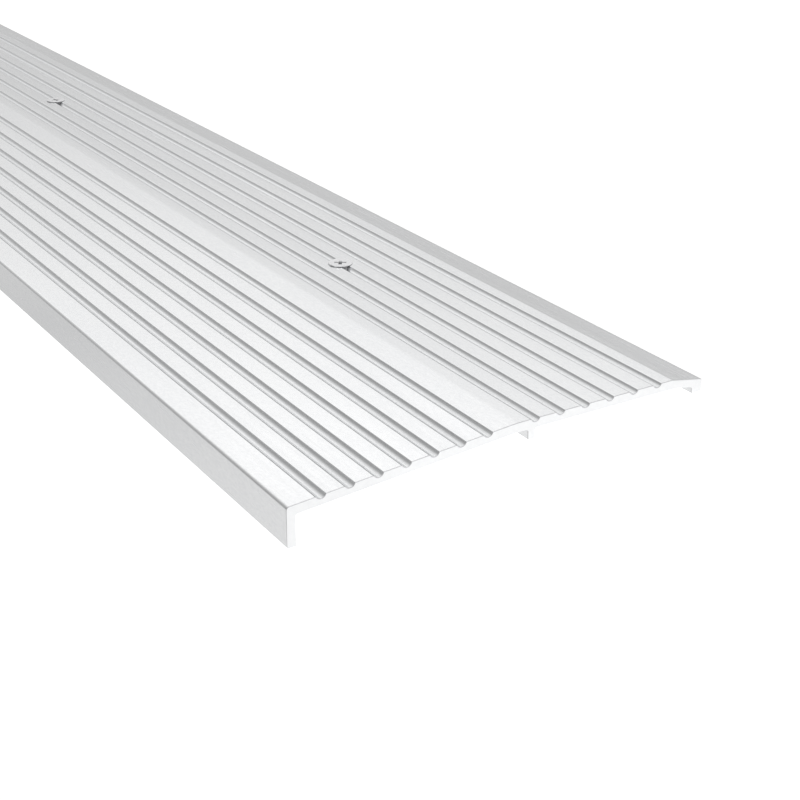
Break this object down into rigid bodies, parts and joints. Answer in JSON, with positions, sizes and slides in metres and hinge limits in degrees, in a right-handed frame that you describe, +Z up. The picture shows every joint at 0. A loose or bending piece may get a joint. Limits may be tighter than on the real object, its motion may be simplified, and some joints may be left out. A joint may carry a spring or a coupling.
{
  "type": "threshold ramp",
  "caption": "Fluted aluminium threshold ramp: a sloping half and a flat half with a bevelled tip, on a long leg and short feet, with countersunk screws.",
  "frame": {"origin": "centre of the bounding box at floor level", "axes": "+Z up as the ramp lies unheld on a level floor, +Y along the length of the stock, +X across from the long leg to the bevelled tip"},
  "size_m": [0.1532, 0.9144, 0.0134],
  "materials": {
    "mill_aluminium": "extruded mill finish, satin, with faint die lines along the length",
    "plated_steel": "bright plated steel, smooth"
  },
  "bodies": {
    "root": {"ramp_extrusion": "mill_aluminium", "screw_1": "plated_steel", "screw_2": "plated_steel", "screw_3": "plated_steel"}
  },
  "joints": []
}
